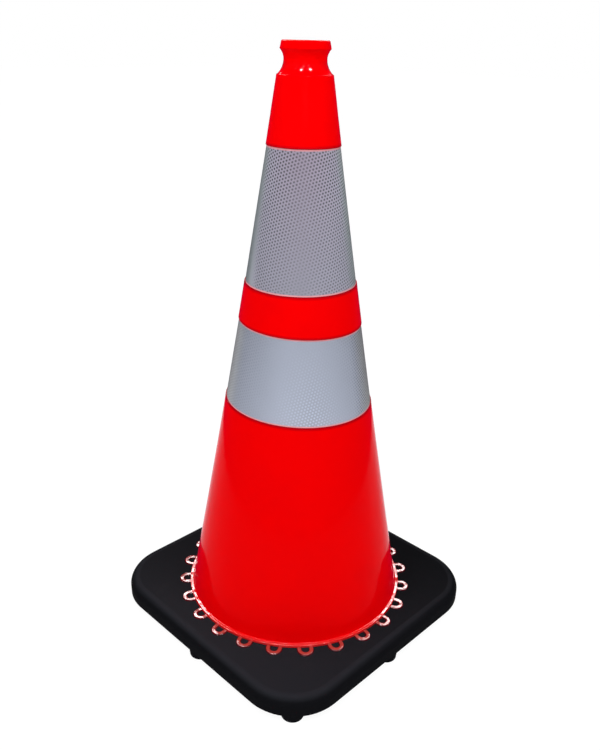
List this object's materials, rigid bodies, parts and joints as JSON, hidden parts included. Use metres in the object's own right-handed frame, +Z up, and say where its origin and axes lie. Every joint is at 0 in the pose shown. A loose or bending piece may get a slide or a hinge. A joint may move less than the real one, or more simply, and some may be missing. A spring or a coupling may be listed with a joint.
{
  "type": "traffic cone",
  "caption": "Tall hollow cone with a grip neck and two reflective collars, moulded into a square weighted base on round feet; stands on roads and floors to mark off an area.",
  "frame": {"origin": "on the floor, under the middle of the base", "axes": "+Z up along the cone's axis; the base's sides run along X and Y"},
  "size_m": [0.364, 0.364, 0.714],
  "materials": {
    "orange_pvc": "glossy injection-moulded flexible PVC, fluorescent red-orange",
    "black_base": "matt black recycled PVC with a fine moulded grain",
    "reflective_sheet": "silver-white retroreflective sheeting with a fine cell pattern",
    "adhesive": "translucent pressure-sensitive adhesive film"
  },
  "bodies": {
    "root": {"cone_shell": "orange_pvc", "weighted_base": "black_base", "upper_collar": "reflective_sheet", "upper_collar_adhesive": "adhesive", "lower_collar": "reflective_sheet", "lower_collar_adhesive": "adhesive"}
  },
  "joints": []
}
